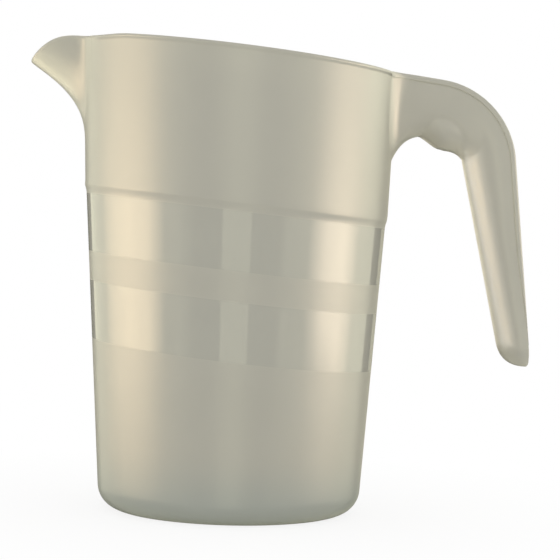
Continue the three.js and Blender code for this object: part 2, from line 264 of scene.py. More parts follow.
# The grain of blasted steel is about 0.1 mm and is drawn coarser, so that it shows
FINISHES = {
    Slot.FROSTED: MouldedPlastic(
        name="frosted_polypropylene",
        colour="c1bfb4",
        cloud_colour="bcbaaf",
        # The darker foot colour is painted shade at the pan
        foot_shade_colour="b0b4ad",
        roughness=(0.28, 0.34),
        grain=Noise(0.9 * MM, 2.0, 0.6),
        grain_depth=0.012 * MM,
    ),
    Slot.POLISHED: MouldedPlastic(
        name="polished_polypropylene",
        colour="bdbcb2",
        cloud_colour="b8b7ad",
        # The darker foot colour is painted shade near the foot, which these bands never reach
        foot_shade_colour="b1afa6",
        roughness=(0.42, 0.5),
        grain=Noise(9 * MM, 2.0, 0.6),
        grain_depth=0.006 * MM,
        specular=0.0,
        coat=1.0,
    ),
}


@cache
def weld_material() -> bpy.types.Material:
    """Makes the material of welds, once: the jug is one moulding, so where two pieces meet nothing shows.

    Returns:
        A clear material.
    """
    made = bpy.data.materials.new("weld")
    nodes = Nodes(made)
    nodes.show("Material", nodes.add("BsdfTransparent")["BSDF"])
    return made


def shell(
    outer: Array,
    inner: Array,
    welds: Array | None = None,
    wrap: bool = False,
    pole: bool = False,
    keep: Array | None = None,
) -> Solid:
    """Closes two matching grids of points into one solid.

    The faces are the quads of the outer grid, those of the inner grid turned round, and a strip of quads
    between the two grids along every edge that only one quad of the outer grid has.

    Args:
        outer: Points of the outside, rows by columns by 3.
        inner: Points of the inside, in the same order.
        welds: Which points of the grid lie on a weld, if not all. A strip between two of them is a weld.
        wrap: Whether the last column joins the first.
        pole: Whether each grid's first row is a single point.
        keep: Which quads stay, rows - 1 by columns, where some are left out.

    Returns:
        The solid, with its faces turned outwards.
    """
    rows, columns = outer.shape[:2]
    count = rows * columns
    here = np.arange(count).reshape(rows, columns)
    right = np.roll(here, -1, axis=1)
    if not wrap:
        here, right = here[:, :-1], right[:, :-1]
    quads = np.stack([here[:-1], right[:-1], right[1:], here[1:]], axis=-1)
    quads = quads.reshape(-1, 4) if keep is None else quads[keep]
    edges = np.stack([quads, np.roll(quads, -1, axis=1)], axis=-1).reshape(-1, 2)
    lonely = ~np.isin(edges @ (count, 1), edges @ (1, count))
    if pole:
        lonely &= (edges >= columns).any(axis=1)
    start, end = edges[lonely].T
    strip = np.stack([end, start, start + count, end + count], axis=1)
    faces = np.concatenate([quads, quads[:, ::-1] + count, strip])
    joined = np.zeros(len(faces), np.int32)
    joined[2 * len(quads) :] = True if welds is None else welds.ravel()[edges[lonely]].all(axis=1)
    used, numbers = np.unique(faces, return_inverse=True)
    points = np.concatenate([outer.reshape(-1, 3), inner.reshape(-1, 3)])[used]
    faces = numbers.reshape(-1, 4)
    a, b, c, d = (points[faces[:, i]] for i in range(4))
    volume = np.sum(np.cross(c - a, d - b) * (a + b + c + d))
    return Solid(points, faces if volume > 0 else faces[:, ::-1], joined)


def add_object(name: str, data: bpy.types.ID) -> bpy.types.Object:
    """Puts an object into the scene.

    Args:
        name: Its name.
        data: Its mesh, lamp or camera.

    Returns:
        The object, at the origin.
    """
    made = bpy.data.objects.new(name, data)
    bpy.context.scene.collection.objects.link(made)
    return made


PIECES: dict[str, bpy.types.Object] = {}


def add_piece(name: str, solid: Solid, slot: Slot, *nodes: str) -> None:
    """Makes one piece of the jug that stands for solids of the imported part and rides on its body.

    Args:
        name: Name of the piece.
        solid: Its points, faces and welds.
        slot: Its material slot.
        nodes: The solids that it stands for.
    """
    mesh = bpy.data.meshes.new(name)
    mesh.from_pydata(solid.points.tolist(), [], solid.faces.tolist())
    mesh.polygons.foreach_set("material_index", solid.welds)
    work = bmesh.new()
    work.from_mesh(mesh)
    bmesh.ops.remove_doubles(work, verts=work.verts, dist=MERGE_DISTANCE)
    bmesh.ops.dissolve_degenerate(work, edges=work.edges, dist=MERGE_DISTANCE)
    work.to_mesh(mesh)
    work.free()
    mesh.shade_smooth()
    mesh.set_sharp_from_angle(angle=SMOOTH_BELOW)
    mesh.materials.append(FINISHES[slot].material())
    mesh.materials.append(weld_material())
    piece = add_object(name, mesh)
    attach(piece, BODY)
    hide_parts(*nodes)
    piece.visible_glossy = False
    PIECES[name] = piece
    log.info("%s: %d faces, %s", name, len(mesh.polygons), slot.value)


def polar(radius: Array | float, azimuth: Array, height: Array) -> Array:
    """Points at distances from the axis, azimuths from +X and heights, with X, Y and Z in the last axis."""
    radius, azimuth, height = np.broadcast_arrays(radius, azimuth, height)
    return np.stack([radius * np.cos(azimuth), radius * np.sin(azimuth), height], axis=-1)


def unit(vectors: Array) -> Array:
    """Vectors of the same directions with a length of 1."""
    return vectors / np.maximum(np.linalg.norm(vectors, axis=-1, keepdims=True), LEAST_LENGTH)


def ease(value: Array, start: float = 0.0, end: float = 1.0) -> Array:
    """Goes smoothly from 0 at a start to 1 at an end: three squares less two cubes of the share between."""
    share = np.clip((value - start) / (end - start), 0, 1)
    return share * share * (3 - 2 * share)


@dataclass(frozen=True)
class Cone:
    """A conical wall, whose outer radius is a radius at height 0 plus its taper times the height."""

    radius: float
    taper: float

    def at(self, height: Array | float) -> Array | float:
        """The outer radius at a height."""
        return self.radius + self.taper * height

    def height_on(self, level: Array | float, azimuth: Array | float, inset: Array | float = 0.0) -> Array:
        """Height where the wall, inset by a depth, crosses the slanted plane of a level on the axis."""
        # The level less the lean times the inset radius, over 1 plus the lean times the taper
        lean = FORM.slope * np.cos(azimuth)
        return (level - lean * (self.radius - inset)) / (1 + lean * self.taper)

    def skin(self, height: Array, azimuth: Array, inset: Array | float) -> Array:
        """Points of the wall, inset by a depth, at heights and azimuths."""
        return polar(self.at(height) - inset, azimuth, height)


@dataclass(frozen=True)
class Form:
    """Sizes that several pieces share. Apart from the shoulder and the spout they are the solids' sizes."""

    wall: float = 2.6 * MM
    floor: float = 3 * MM
    base_radius: float = 53.05 * MM
    base_corner: float = 10 * MM
    body_taper: float = math.radians(3.7)
    slant: float = math.radians(5.2)
    pan_height: float = 24 * MM
    lower_band: tuple[float, float] = (64.3 * MM, 87.6 * MM)
    upper_band: tuple[float, float] = (99.4 * MM, 122.3 * MM)
    shoulder_step: float = 0.55 * MM
    shoulder_height: float = 3.5 * MM
    collar_taper: float = math.radians(2)
    rim_level: float = 185.3 * MM
    bead_height: float = 2.2 * MM
    bead_proud: float = 0.5 * MM
    spout_height: float = 43 * MM
    spout_half_angle: float = math.radians(12.5)
    spout_margin: float = math.radians(9.5)
    rim_dip: float = 0.75 * MM
    dip_angles: tuple[float, float] = (math.radians(29), math.radians(47))

    @property
    def slope(self) -> float:
        """Rise of the slanted planes towards the spout, per length."""
        return math.tan(self.slant)

    @property
    def body(self) -> Cone:
        """The body's wall."""
        return Cone(self.base_radius, math.tan(self.body_taper))

    @property
    def shoulder_top(self) -> float:
        """Level where the shoulder has become the collar."""
        return self.upper_band[1] + self.shoulder_height

    @property
    def collar(self) -> Cone:
        """The collar's wall, a step outside the body's where the shoulder ends."""
        taper = math.tan(self.collar_taper)
        return Cone(self.body.at(self.shoulder_top) + self.shoulder_step - taper * self.shoulder_top, taper)

    @property
    def collar_top(self) -> float:
        """Level where the rim's bead begins."""
        return self.rim_level - self.bead_height

    @property
    def spout_foot(self) -> float:
        """Level where the spout starts to swell."""
        return self.rim_level - self.spout_height

    @property
    def spout_seat(self) -> float:
        """Half angle of the spout's piece, with a margin of plain wall."""
        return self.spout_half_angle + self.spout_margin

    def dip(self, azimuth: Array) -> Array:
        """How far the rim sinks near the spout, by azimuth."""
        return self.rim_dip * (1 - ease(np.arccos(-np.cos(azimuth)), *self.dip_angles))


FORM = Form()


@dataclass
class Body:
    """The tapered body: a base pan, a frosted wall, and two polished bands with a frosted one between."""

    columns: int = 240
    rows: int = 5
    corner_rows: int = 14
    floor_rows: int = 8

    def build(self) -> None:
        """Builds and dresses the pan and the four rings over it."""
        add_piece("base_pan", self.pan(), Slot.FROSTED, "base_pan")
        names = ("lower_wall", "lower_polished_band", "middle_frosted_band", "upper_polished_band")
        slots = (Slot.FROSTED, Slot.POLISHED, Slot.FROSTED, Slot.POLISHED)
        edges = [self.pan_edge, *(self.on(level) for level in FORM.lower_band + FORM.upper_band)]
        for name, slot, bottom, top in zip(names, slots, edges, edges[1:]):
            add_piece(name, self.ring(bottom, top), slot, name)

    def azimuths(self) -> Array:
        """Angles of the columns, once round."""
        return np.linspace(0, FULL_TURN, self.columns, endpoint=False)

    @staticmethod
    def pan_edge(azimuth: Array, inset: float) -> Array:
        """The pan's upper edge, which is level all round and at any inset."""
        return np.full_like(azimuth, FORM.pan_height)

    @staticmethod
    def on(level: float) -> Edge:
        """An edge that lies in the slanted plane of a level."""
        return lambda azimuth, inset: FORM.body.height_on(level, azimuth, inset)

    def ring(self, bottom: Edge, top: Edge) -> Solid:
        """A ring of the body's wall: on each azimuth its height runs evenly from one edge to the other.

        Args:
            bottom: Height of its lower edge, for an azimuth and a depth.
            top: Height of its upper edge.

        Returns:
            The solid.
        """
        azimuth = self.azimuths()
        share = np.linspace(0, 1, self.rows)[:, None]
        skins = []
        for inset in (0.0, FORM.wall):
            height = bottom(azimuth, inset) * (1 - share) + top(azimuth, inset) * share
            skins.append(FORM.body.skin(height, azimuth, inset))
        return shell(*skins, wrap=True)

    def pan_profile(self, inset: float, floor: float, corner: float) -> tuple[Array, Array]:
        """Profile from the axis out along a floor, round a corner and up the tapered wall.

        Args:
            inset: Depth below the wall's outside.
            floor: Height of the floor.
            corner: Radius of the corner, an arc that touches the floor and the wall.

        Returns:
            Radii and heights.
        """
        cone = FORM.body
        centre = cone.at(floor + corner) - inset - corner * math.hypot(1, cone.taper)
        turn = np.linspace(-math.pi / 2, -FORM.body_taper, self.corner_rows)
        run = np.linspace(0, 1, self.floor_rows, endpoint=False)
        rise = np.linspace(0, 1, self.rows)[1:]
        out, up = centre + corner * np.cos(turn), floor + corner * (1 + np.sin(turn))
        height = up[-1] + rise * (FORM.pan_height - up[-1])
        radius = np.concatenate([run * centre, out, cone.at(height) - inset])
        return radius, np.concatenate([np.full_like(run, floor), up, height])

    def pan(self) -> Solid:
        """The base pan: its outer and inner profiles turned once round the axis.

        Returns:
            The solid.
        """
        azimuth = self.azimuths()
        outside = self.pan_profile(0.0, 0.0, FORM.base_corner)
        inside = self.pan_profile(FORM.wall, FORM.floor, FORM.base_corner - FORM.wall)
        skins = [polar(radius[:, None], azimuth, height[:, None]) for radius, height in (outside, inside)]
        return shell(*skins, wrap=True, pole=True)


@dataclass
class Collar:
    """The wider collar over the shoulder, its rim bead, and the spout that swells from it."""

    reach: float = 23.3 * MM
    droop: float = 11.9 * MM
    droop_power: float = 2.8
    flare: float = 2.5
    blunt: float = 0.055
    blunt_power: float = 16.0
    rounding: float = 1.2
    blend: float = 0.4
    lip_round: float = 1.1 * MM
    bead_round: float = 0.9 * MM
    bead_fade: float = math.radians(10)
    shoulder_power: float = 1.5
    columns: int = 220
    spout_columns: int = 72
    shoulder_rows: int = 13
    wall_rows: int = 10
    spout_rows: int = 44
    lip_rows: int = 7

    def build(self) -> None:
        """Builds and dresses the collar, the bead and the spout."""
        add_piece("collar", self.collar(), Slot.FROSTED, "collar")
        add_piece("rim_bead", self.bead(), Slot.FROSTED, "rim_bead")
        add_piece("spout", self.spout(), Slot.FROSTED, "spout")

    def long_way(self) -> Array:
        """Azimuths from one edge of the spout round by the handle to the other."""
        seat = FORM.spout_seat
        return np.linspace(seat - math.pi, math.pi - seat, self.columns)

    def collar(self) -> Solid:
        """The collar: body wall, then a hollow step out over the shoulder, then its own cone.

        The quads over the spout's foot, between the spout's edges, are left out.

        Returns:
            The solid.
        """
        seat = FORM.spout_seat
        front = np.linspace(math.pi - seat, math.pi + seat, self.spout_columns + 1)[1:-1]
        azimuth = np.concatenate([self.long_way(), front])
        share = np.linspace(0, 1, self.shoulder_rows)[:, None]
        step = FORM.shoulder_step * (1 - (1 - share**2) ** self.shoulder_power)
        low_levels = FORM.upper_band[1] + share * FORM.shoulder_height
        rise = np.linspace(0, 1, self.wall_rows)[1:, None]
        to_foot = FORM.shoulder_top + rise * (FORM.spout_foot - FORM.shoulder_top)
        to_top = FORM.spout_foot + rise * (FORM.collar_top - FORM.dip(azimuth) - FORM.spout_foot)
        high_levels = np.concatenate(np.broadcast_arrays(to_foot, to_top))
        skins = []
        for inset in (0.0, FORM.wall):
            low = FORM.body.height_on(low_levels, azimuth, inset - step)
            high = FORM.collar.height_on(high_levels, azimuth, inset)
            shoulder = FORM.body.skin(low, azimuth, inset - step)
            skins.append(np.concatenate([shoulder, FORM.collar.skin(high, azimuth, inset)]))
        rows = len(skins[0]) - 1
        keep = np.ones((rows, len(azimuth)), bool)
        keep[rows - self.wall_rows + 1 :, self.columns - 1 :] = False
        return shell(*skins, wrap=True, keep=keep)

    def bead(self) -> Solid:
        """The rim bead: a strip that swells from the collar and fades at the spout, its upper edges rounded.

        Returns:
            The solid.
        """
        azimuth = self.long_way()
        share = np.linspace(0, 1, self.lip_rows)[:, None]
        turn = share[1:] * math.pi / 2
        top, bottom, radius = FORM.rim_level, FORM.collar_top, self.bead_round
        proud = FORM.bead_proud * ease((math.pi - FORM.spout_seat - np.abs(azimuth)) / self.bead_fade)
        swell = np.concatenate([ease(share), np.ones_like(turn)])
        round_off = np.concatenate([np.zeros_like(share), radius * (1 - np.cos(turn))])
        levels = np.concatenate([bottom + share * (top - radius - bottom), top - radius * (1 - np.sin(turn))])
        skins = []
        for inset in (round_off - swell * proud, FORM.wall - round_off):
            height = FORM.collar.height_on(levels - FORM.dip(azimuth), azimuth, inset)
            skins.append(FORM.collar.skin(height, azimuth, inset))
        return shell(*skins, self.all_but_last(skins[0]))

    @staticmethod
    def all_but_last(skin: Array) -> Array:
        """Marks every edge of a skin as a weld apart from its last row, which is the free lip.

        Args:
            skin: Points of the skin.

        Returns:
            Which of the points lie on a weld.
        """
        welds = np.ones(skin.shape[:2], bool)
        welds[-1, 1:-1] = False
        return welds

    def beak(self, angle: Array) -> Array:
        """Swell of the spout at an angle from -X.

        The fall is 1 less the cubed share of the half angle. The greater of the fall and 0, rounded by the
        blend, is then raised to the rounding.

        Args:
            angle: Angles from -X.

        Returns:
            Swells from 0 to 1.
        """
        fall = 1 - np.abs(angle / FORM.spout_half_angle) ** 3
        top = 1 + math.hypot(1, self.blend)
        return ((fall + np.hypot(fall, self.blend)) / top) ** self.rounding

    def lip(self, angle: Array) -> Array:
        """Height of the spout's lip: the rim's plane carried out to the beak, less its droop.

        Args:
            angle: Angles from -X.

        Returns:
            Heights.
        """
        swell = self.beak(angle)
        rim = FORM.collar.height_on(FORM.rim_level - FORM.dip(math.pi + angle), math.pi + angle)
        reach = self.reach * (1 - self.blunt)
        return rim + FORM.slope * reach * swell * np.cos(angle) - self.droop * swell**self.droop_power

    def spout_skin(self, angle: Array, height: Array) -> Array:
        """Outside of the spout: the collar's radius plus the reach times the swell and a power of the climb.

        The climb goes from 0 at the foot to 1 at the lip. A share of a higher power is taken off to blunt it.

        Args:
            angle: Angles from -X.
            height: Heights.

        Returns:
            Points.
        """
        foot = FORM.collar.height_on(FORM.spout_foot, math.pi + angle)
        climb = np.maximum(height - foot, 0) / (self.lip(angle) - foot)
        swell = self.beak(angle) * (climb**self.flare - self.blunt * climb**self.blunt_power)
        return polar(FORM.collar.at(height) + self.reach * swell, math.pi + angle, height)

    def spout(self) -> Solid:
        """The spout: its skin from foot to lip, a second skin a wall's depth inside it, and a rounded lip.

        The lip's edge turns a quarter circle in from each skin.

        Returns:
            The solid.
        """
        angle = np.linspace(-FORM.spout_seat, FORM.spout_seat, self.spout_columns + 1)
        foot = FORM.collar.height_on(FORM.spout_foot, math.pi + angle)
        lip = self.lip(angle)
        share = np.linspace(0, 1, self.spout_rows)[:, None]
        height = foot + share * (lip - self.lip_round * self.spout_frame(angle, lip)[1][..., 2] - foot)
        skin = self.spout_skin(angle, height)
        outward, upward = self.spout_frame(angle, height)
        turn = np.linspace(0, math.pi / 2, self.lip_rows)[1:, None, None]
        inwards, upwards = self.lip_round * (1 - np.cos(turn)), self.lip_round * np.sin(turn)
        outer_lip = skin[-1] - outward[-1] * inwards + upward[-1] * upwards
        inner_lip = skin[-1] - outward[-1] * (FORM.wall - inwards) + upward[-1] * upwards
        outer = np.concatenate([skin, outer_lip])
        inner = np.concatenate([skin - outward * FORM.wall, inner_lip])
        return shell(outer, inner, self.all_but_last(outer))

    def spout_frame(self, angle: Array, height: Array) -> tuple[Array, Array]:
        """Directions outwards and up the spout's outside, from points a small step apart.

        Args:
            angle: Angles from -X.
            height: Heights.

        Returns:
            Unit vectors off the surface, and up along it.
        """
        small = 1e-5
        around = self.spout_skin(angle + small, height) - self.spout_skin(angle - small, height)
        up = self.spout_skin(angle, height + small) - self.spout_skin(angle, height - small)
        return unit(np.cross(around, up)), unit(up)


def line(start: Array, end: Array) -> Stretch:
    """A straight stretch from one point to another, for shares from 0 to 1."""
    return lambda t: start + t[..., None] * (end - start)


def arc(centre: Array, radius: float, start: float, end: float) -> Stretch:
    """An arc about a centre from one angle to another, for shares from 0 to 1."""
    angle = line(np.array([start]), np.array([end]))
    return lambda t: centre + radius * np.concatenate([np.cos(angle(t)), np.sin(angle(t))], axis=-1)


def curve(start: Array, pull: Array, end: Array) -> Stretch:
    """A parabola from one point to another, drawn towards a third, for shares from 0 to 1."""
    first, second = line(start, pull), line(pull, end)
    return lambda t: (1 - t[..., None]) * first(t) + t[..., None] * second(t)


@dataclass(frozen=True)
class FingerRest:
    """The swelling under the handle's bend, in the trough's own wall.

    On the web it is a bump on an oval patch: 1 less the squared distance from the patch's middle, to a power.
    On each side it is a lower bulge on a smaller oval, with a shallow fold along the oval's edge.
    """

    start: float = 73.5 * MM
    length: float = 22.3 * MM
    wrap: float = 0.78
    thickness: float = 4.85 * MM
    rounding: float = 1.1
    side_middle: float = 0.4
    side_length: float = 0.8
    side_wrap: float = 0.53
    bulge: float = 2.2 * MM
    fold_depth: float = 0.7 * MM
    fold_width: float = 0.1

    def height(self, share: Array, t: Array, facing: Array) -> Array:
        """Height of the swelling over the plain wall.

        Args:
            share: Places along the rest, 0 at its start and 1 at its end.
            t: Places round the U.
            facing: How far the wall faces as the web does, from 0 to 1.

        Returns:
            Heights.
        """
        bump = np.clip(1 - (2 * share - 1) ** 2 - (t / self.wrap) ** 2, 0, 1) ** self.rounding
        reach = np.hypot((share - self.side_middle) * 2 / self.side_length, t / self.side_wrap)
        fold = self.fold_depth * np.exp(-(((reach - 1) / self.fold_width) ** 2))
        side = self.bulge * np.clip(1 - reach**2, 0, 1) - fold
        return self.thickness * bump * facing + side * (1 - facing)


# Places along the handle, in stretches, where its grip and its tip end
GRIP_END = 3
TIP_END = 4


@dataclass
class Handle:
    """The hook handle: a trough that is open on its outer side, with a rail on each edge and a finger rest.

    Along the handle, v counts four stretches: the bridge, the bend, the grip and the tip. Round the trough's
    U, t goes from -1 at the near edge over 0 at the web to 1 at the far edge.
    """

    # Side view
    reach: float = 57.1 * MM
    crown: float = 0.25 * MM
    drop: float = 117.5 * MM
    bridge_fall: float = math.radians(6.9)
    bridge_depth: float = 24.9 * MM
    bend_radius: float = 35 * MM
    finger_radius: float = 9 * MM
    root_arch: float = 10 * MM
    arch_pull: tuple[float, float] = (1 / 2, 1 / 3)
    outer_lean: float = math.radians(5.85)
    inner_lean: float = math.radians(12.6)
    end_depth: float = 11.74 * MM
    tip_height: float = 9.5 * MM
    tip_edge: float = 2.2 * MM

    # Width and section
    wall: float = 2.4 * MM
    half_width: float = 12.6 * MM
    tip_half_width: float = 6.5 * MM
    bridge_extra: float = 3.5 * MM
    bridge_stretch: tuple[float, float] = (0.0, 1.6)
    root_half_width: float = 22.5 * MM
    foot_half_width: float = 19.5 * MM
    root_flare: float = 7 * MM
    root_taper: float = 4.8 * MM
    taper_powers: tuple[float, float] = (3.5, 7.5)
    root_fillet: float = 0.07
    squareness: float = 3.4
    grip_squareness: float = 2.0
    grip_straight: float = 0.18
    grip_stretch: tuple[float, float] = (1.0, 1.8)
    even_depth: float = 19.92 * MM

    # Side panels and rails
    panel_recess: float = 0.3 * MM
    panel_start: tuple[float, float] = (0.2, 1.0)
    panel_end: tuple[float, float] = (2.75, 3.0)
    rail_groove: float = 0.1 * MM
    rail_height: float = 2.2 * MM
    rail_proud: float = 0.1 * MM
    rail_round: float = 1.3 * MM
    rail_seat_round: float = 0.3 * MM
    rail_end: float = 0.1 * MM
    rail_stretch: tuple[float, float] = (2.3, 3.0)
    rail_power: float = 1.5
    joint_gap: float = 0.03 * MM

    # Finger rest, mesh and outlines
    rest: FingerRest = FingerRest()
    along: int = 48
    around: int = 96
    rail_rows: int = 6
    samples: int = 1000
    section_samples: int = 1200
    edge: list[Stretch] = field(default_factory=list)
    web: list[Stretch] = field(default_factory=list)

    def build(self) -> None:
        """Builds and dresses the trough, whose wall swells into the finger rest, and its rails."""
        self.draw()
        add_piece("handle_channel", self.channel(), Slot.FROSTED, "handle_channel", "finger_rest")
        add_piece("handle_rail_near", self.rail(-1), Slot.FROSTED, "handle_rail_near")
        add_piece("handle_rail_far", self.rail(1), Slot.FROSTED, "handle_rail_far")

    def draw(self) -> None:
        """Draws the outer edge and the inner web in the XZ plane, each in four matching stretches."""
        rim_z = float(FORM.collar.height_on(FORM.rim_level, 0.0))
        rim_x = FORM.collar.at(rim_z)
        tip_x, tip_z = rim_x + self.reach, rim_z - self.drop
        end_z = tip_z + self.tip_height
        outer_tan, inner_tan = math.tan(self.outer_lean), math.tan(self.inner_lean)
        fall = math.tan(self.bridge_fall)
        outer_end = np.array([tip_x - outer_tan * self.tip_height, end_z])
        inner_end = outer_end - (self.end_depth, 0)
        under_z = rim_z - self.bridge_depth
        corner_x = (outer_end[0] - outer_tan * (rim_z + fall * rim_x - end_z)) / (1 - outer_tan * fall)
        outer_corner = np.array([corner_x, rim_z + self.crown - fall * (corner_x - rim_x)])
        inner_corner = np.array([inner_end[0] - inner_tan * (under_z - end_z), under_z])
        outer_bend = self.bend(outer_corner, self.bridge_fall, self.outer_lean, self.bend_radius)
        inner_bend = self.bend(inner_corner, 0.0, self.inner_lean, self.finger_radius)
        ends = np.array([0.0, 1.0])
        outer_start, outer_stop = outer_bend(ends)
        inner_start, inner_stop = inner_bend(ends)
        foot_z = under_z - self.root_arch
        foot = np.array([FORM.collar.at(foot_z), foot_z])
        arch = np.array([foot[0], under_z]) + self.root_arch * np.array(self.arch_pull)
        tip = np.array([tip_x - self.tip_edge / 4, tip_z])
        tip_corner = np.array([inner_end[0] + inner_tan * self.tip_height, tip_z])
        self.edge = [
            line(np.array([rim_x, rim_z + self.crown]), outer_start),
            outer_bend,
            line(outer_stop, outer_end),
            line(outer_end, np.array([tip_x, tip_z + self.tip_edge])),
        ]
        self.web = [
            curve(foot, arch, inner_start),
            inner_bend,
            line(inner_stop, inner_end),
            curve(inner_end, tip_corner, tip),
        ]

    @staticmethod
    def bend(corner: Array, fall: float, lean: float, radius: float) -> Stretch:
        """A round between a line that falls away from the body and one that leans out as it goes down.

        Args:
            corner: Where the two lines would meet.
            fall: Angle of the first line below level.
            lean: Angle of the second line from upright.
            radius: Radius of the round.

        Returns:
            The arc, for shares from 0 to 1.
        """
        start = math.pi / 2 - fall
        reach = radius * math.tan((start - lean) / 2)
        first = corner + reach * np.array([-math.cos(fall), math.sin(fall)])
        centre = first - radius * np.array([math.cos(start), math.sin(start)])
        return arc(centre, radius, start, lean)

    def station(self, v: Array) -> tuple[Array, Array, Array]:
        """Edge, direction to the web and depth of the trough at places along it.

        Args:
            v: Places, from 0 at the root to 4 at the tip.

        Returns:
            Points of the edge, directions, and depths.
        """
        stretch = np.minimum(v.astype(int), len(self.edge) - 1)
        edge, web = np.zeros((*v.shape, 2)), np.zeros((*v.shape, 2))
        for i, (outer, inner) in enumerate(zip(self.edge, self.web)):
            edge = np.where((stretch == i)[..., None], outer(v - i), edge)
            web = np.where((stretch == i)[..., None], inner(v - i), web)
        return edge, unit(web - edge), np.linalg.norm(web - edge, axis=-1)

    def width_at(self, v: Array, share: Array) -> Array:
        """Half width of the trough: a taper and a fillet flare it at the root, and it narrows at the tip.

        Args:
            v: Places along the handle.
            share: Shares of the depth, 0 at the edge and 1 at the web.

        Returns:
            Half widths.
        """
        along = self.from_root(v)
        fillet = 1 - np.sqrt(1 - (1 - np.minimum(along / self.root_fillet, 1)) ** 2)
        root = self.root_half_width + (self.foot_half_width - self.root_half_width) * share
        narrowing = np.clip(v - GRIP_END, 0, 1) ** 2
        plain = self.half_width + (self.tip_half_width - self.half_width) * narrowing
        plain = plain + self.bridge_extra * (1 - ease(v, *self.bridge_stretch))
        power, web_power = self.taper_powers
        flared = plain + self.root_taper * (1 - along) ** (power + (web_power - power) * share)
        return flared + (root - flared) * fillet

    def from_root(self, v: Array) -> Array:
        """Share of the root's flare that lies behind, from 0 at the collar to 1 where the flare ends."""
        along = self.station(v)[0][..., 0] - self.edge[0](np.zeros(1))[0, 0]
        return np.clip(along / self.root_flare, 0, 1)

    def recess_at(self, v: Array) -> Array:
        """Depth of the side panels below the rails, easing in along the root's flare and out at the tip."""
        shown = ease(self.from_root(v), *self.panel_start) * (1 - ease(v, *self.panel_end))
        return self.panel_recess * shown

    def rail_at(self, v: Array) -> Array:
        """Height of the rails: full as far as the lower grip, then easing almost to nothing at the tip."""
        lost = ease(v, *self.rail_stretch) ** self.rail_power
        return self.rail_end + (self.rail_height - self.rail_end) * (1 - lost)

    def section(self, v: Array, t: Array) -> tuple[Array, Array]:
        """The U of the trough in even steps along its line: half a superellipse, straight-sided on the grip.

        Args:
            v: Places along the handle.
            t: Places round the U.

        Returns:
            Shares of the half width, and of the depth.
        """
        angle = np.linspace(0, math.pi / 2, self.section_samples)
        shares = []
        for squareness, straight in ((self.squareness, 0.0), (self.grip_squareness, self.grip_straight)):
            power = 2 / squareness
            across = np.append(np.sin(angle) ** power, 1.0)
            deep = np.append(straight + (1 - straight) * np.cos(angle) ** power, 0.0)
            step = np.hypot(np.diff(across) * self.half_width, np.diff(deep) * self.even_depth)
            length = np.concatenate([[0], np.cumsum(step)]) / step.sum()
            shares.append((np.interp(np.abs(t), length, across), np.interp(np.abs(t), length, deep)))
        on_grip = ease(v, *self.grip_stretch)
        across, deep = (square + (rounded - square) * on_grip for square, rounded in zip(*shares))
        return np.sign(t) * across, deep

    def skin(self, v: Array, t: Array, depth: float) -> Array:
        """Points of the trough's wall, whose sides lie below the rails, deepest in a groove beside them.

        Args:
            v: Places along the handle.
            t: Places round the U.
            depth: Depth below the wall's outside.

        Returns:
            Points.
        """
        edge, inward, full = self.station(v)
        across, deep = self.section(v, t)
        mouth = self.rail_at(v)
        inside = np.maximum(full - mouth - depth, self.tip_edge / 4)
        place = edge + (mouth + inside * deep)[..., None] * inward
        beside_rail = ease((np.abs(t) - 1) * self.around / 2 + 1)
        recess = self.recess_at(v) * (1 + self.rail_groove / self.panel_recess * beside_rail)
        half = np.maximum(self.width_at(v, deep) - recess - depth, self.tip_edge / 2)
        return np.stack([place[..., 0], half * across, place[..., 1]], axis=-1)

    def set_on_collar(self, skin: Array, v: Array, gap: float) -> Array:
        """Slides a skin's root along X until its first row stands off the collar by a gap.

        Args:
            skin: Points, rows along the handle.
            v: Places of the rows along the handle.
            gap: Distance between the first row and the collar's wall.

        Returns:
            Points, moved less and less along the root's flare.
        """
        wanted = np.sqrt((FORM.collar.at(skin[..., 2]) + gap) ** 2 - skin[..., 1] ** 2)
        moved = skin.copy()
        moved[..., 0] += (wanted - skin[0, :, 0]) * (1 - ease(self.from_root(v)))[:, None]
        return moved

    def rows(self, last: int) -> Array:
        """Places of rows along the handle as far as the end of a stretch, closer together at the root."""
        share = np.linspace(0, 1, self.along + 1)
        return np.concatenate([share**2, *(i + share[1:] for i in range(1, last))])

    def swelling(self, v: Array, t: Array) -> Array:
        """How far the finger rest swells the trough's outside, along the wall's own outward directions.

        Args:
            v: Places along the handle.
            t: Places round the U.

        Returns:
            Moves of the points.
        """
        small = 1e-3
        fine = np.linspace(0, GRIP_END, GRIP_END * self.samples + 1)
        edge, inward, depth = self.station(fine)
        web = edge + inward * depth[:, None]
        length = np.concatenate([[0], np.cumsum(np.linalg.norm(np.diff(web, axis=0), axis=1))])
        start = np.interp(self.rest.start, web[: self.samples, 0], length[: self.samples])
        share = (np.interp(v, fine, length) - start) / self.rest.length
        along = self.skin(v + small, t, 0.0) - self.skin(v - small, t, 0.0)
        across = self.skin(v, t + small, 0.0) - self.skin(v, t - small, 0.0)
        outward = unit(np.cross(along, across))
        outward *= np.sign(np.sum(outward[..., 1] * t))
        middle = outward[:, [t.shape[1] // 2]]
        facing = np.clip(np.sum(outward * middle, axis=-1), 0, 1)
        return outward * self.rest.height(share, t, facing)[..., None]

    def channel(self) -> Solid:
        """The trough: the U carried along the handle, with a wall of even depth, its root set on the collar.

        Returns:
            The solid.
        """
        along = self.rows(TIP_END)
        v, t = np.meshgrid(along, np.linspace(-1, 1, self.around + 1), indexing="ij")
        outer = self.skin(v, t, 0.0) + self.swelling(v, t)
        inner = self.skin(v, t, self.wall)
        welds = np.zeros(v.shape, bool)
        welds[0] = True
        welds[: GRIP_END * self.along + 1, [0, -1]] = True
        return shell(*(self.set_on_collar(skin, along, self.joint_gap) for skin in (outer, inner)), welds)

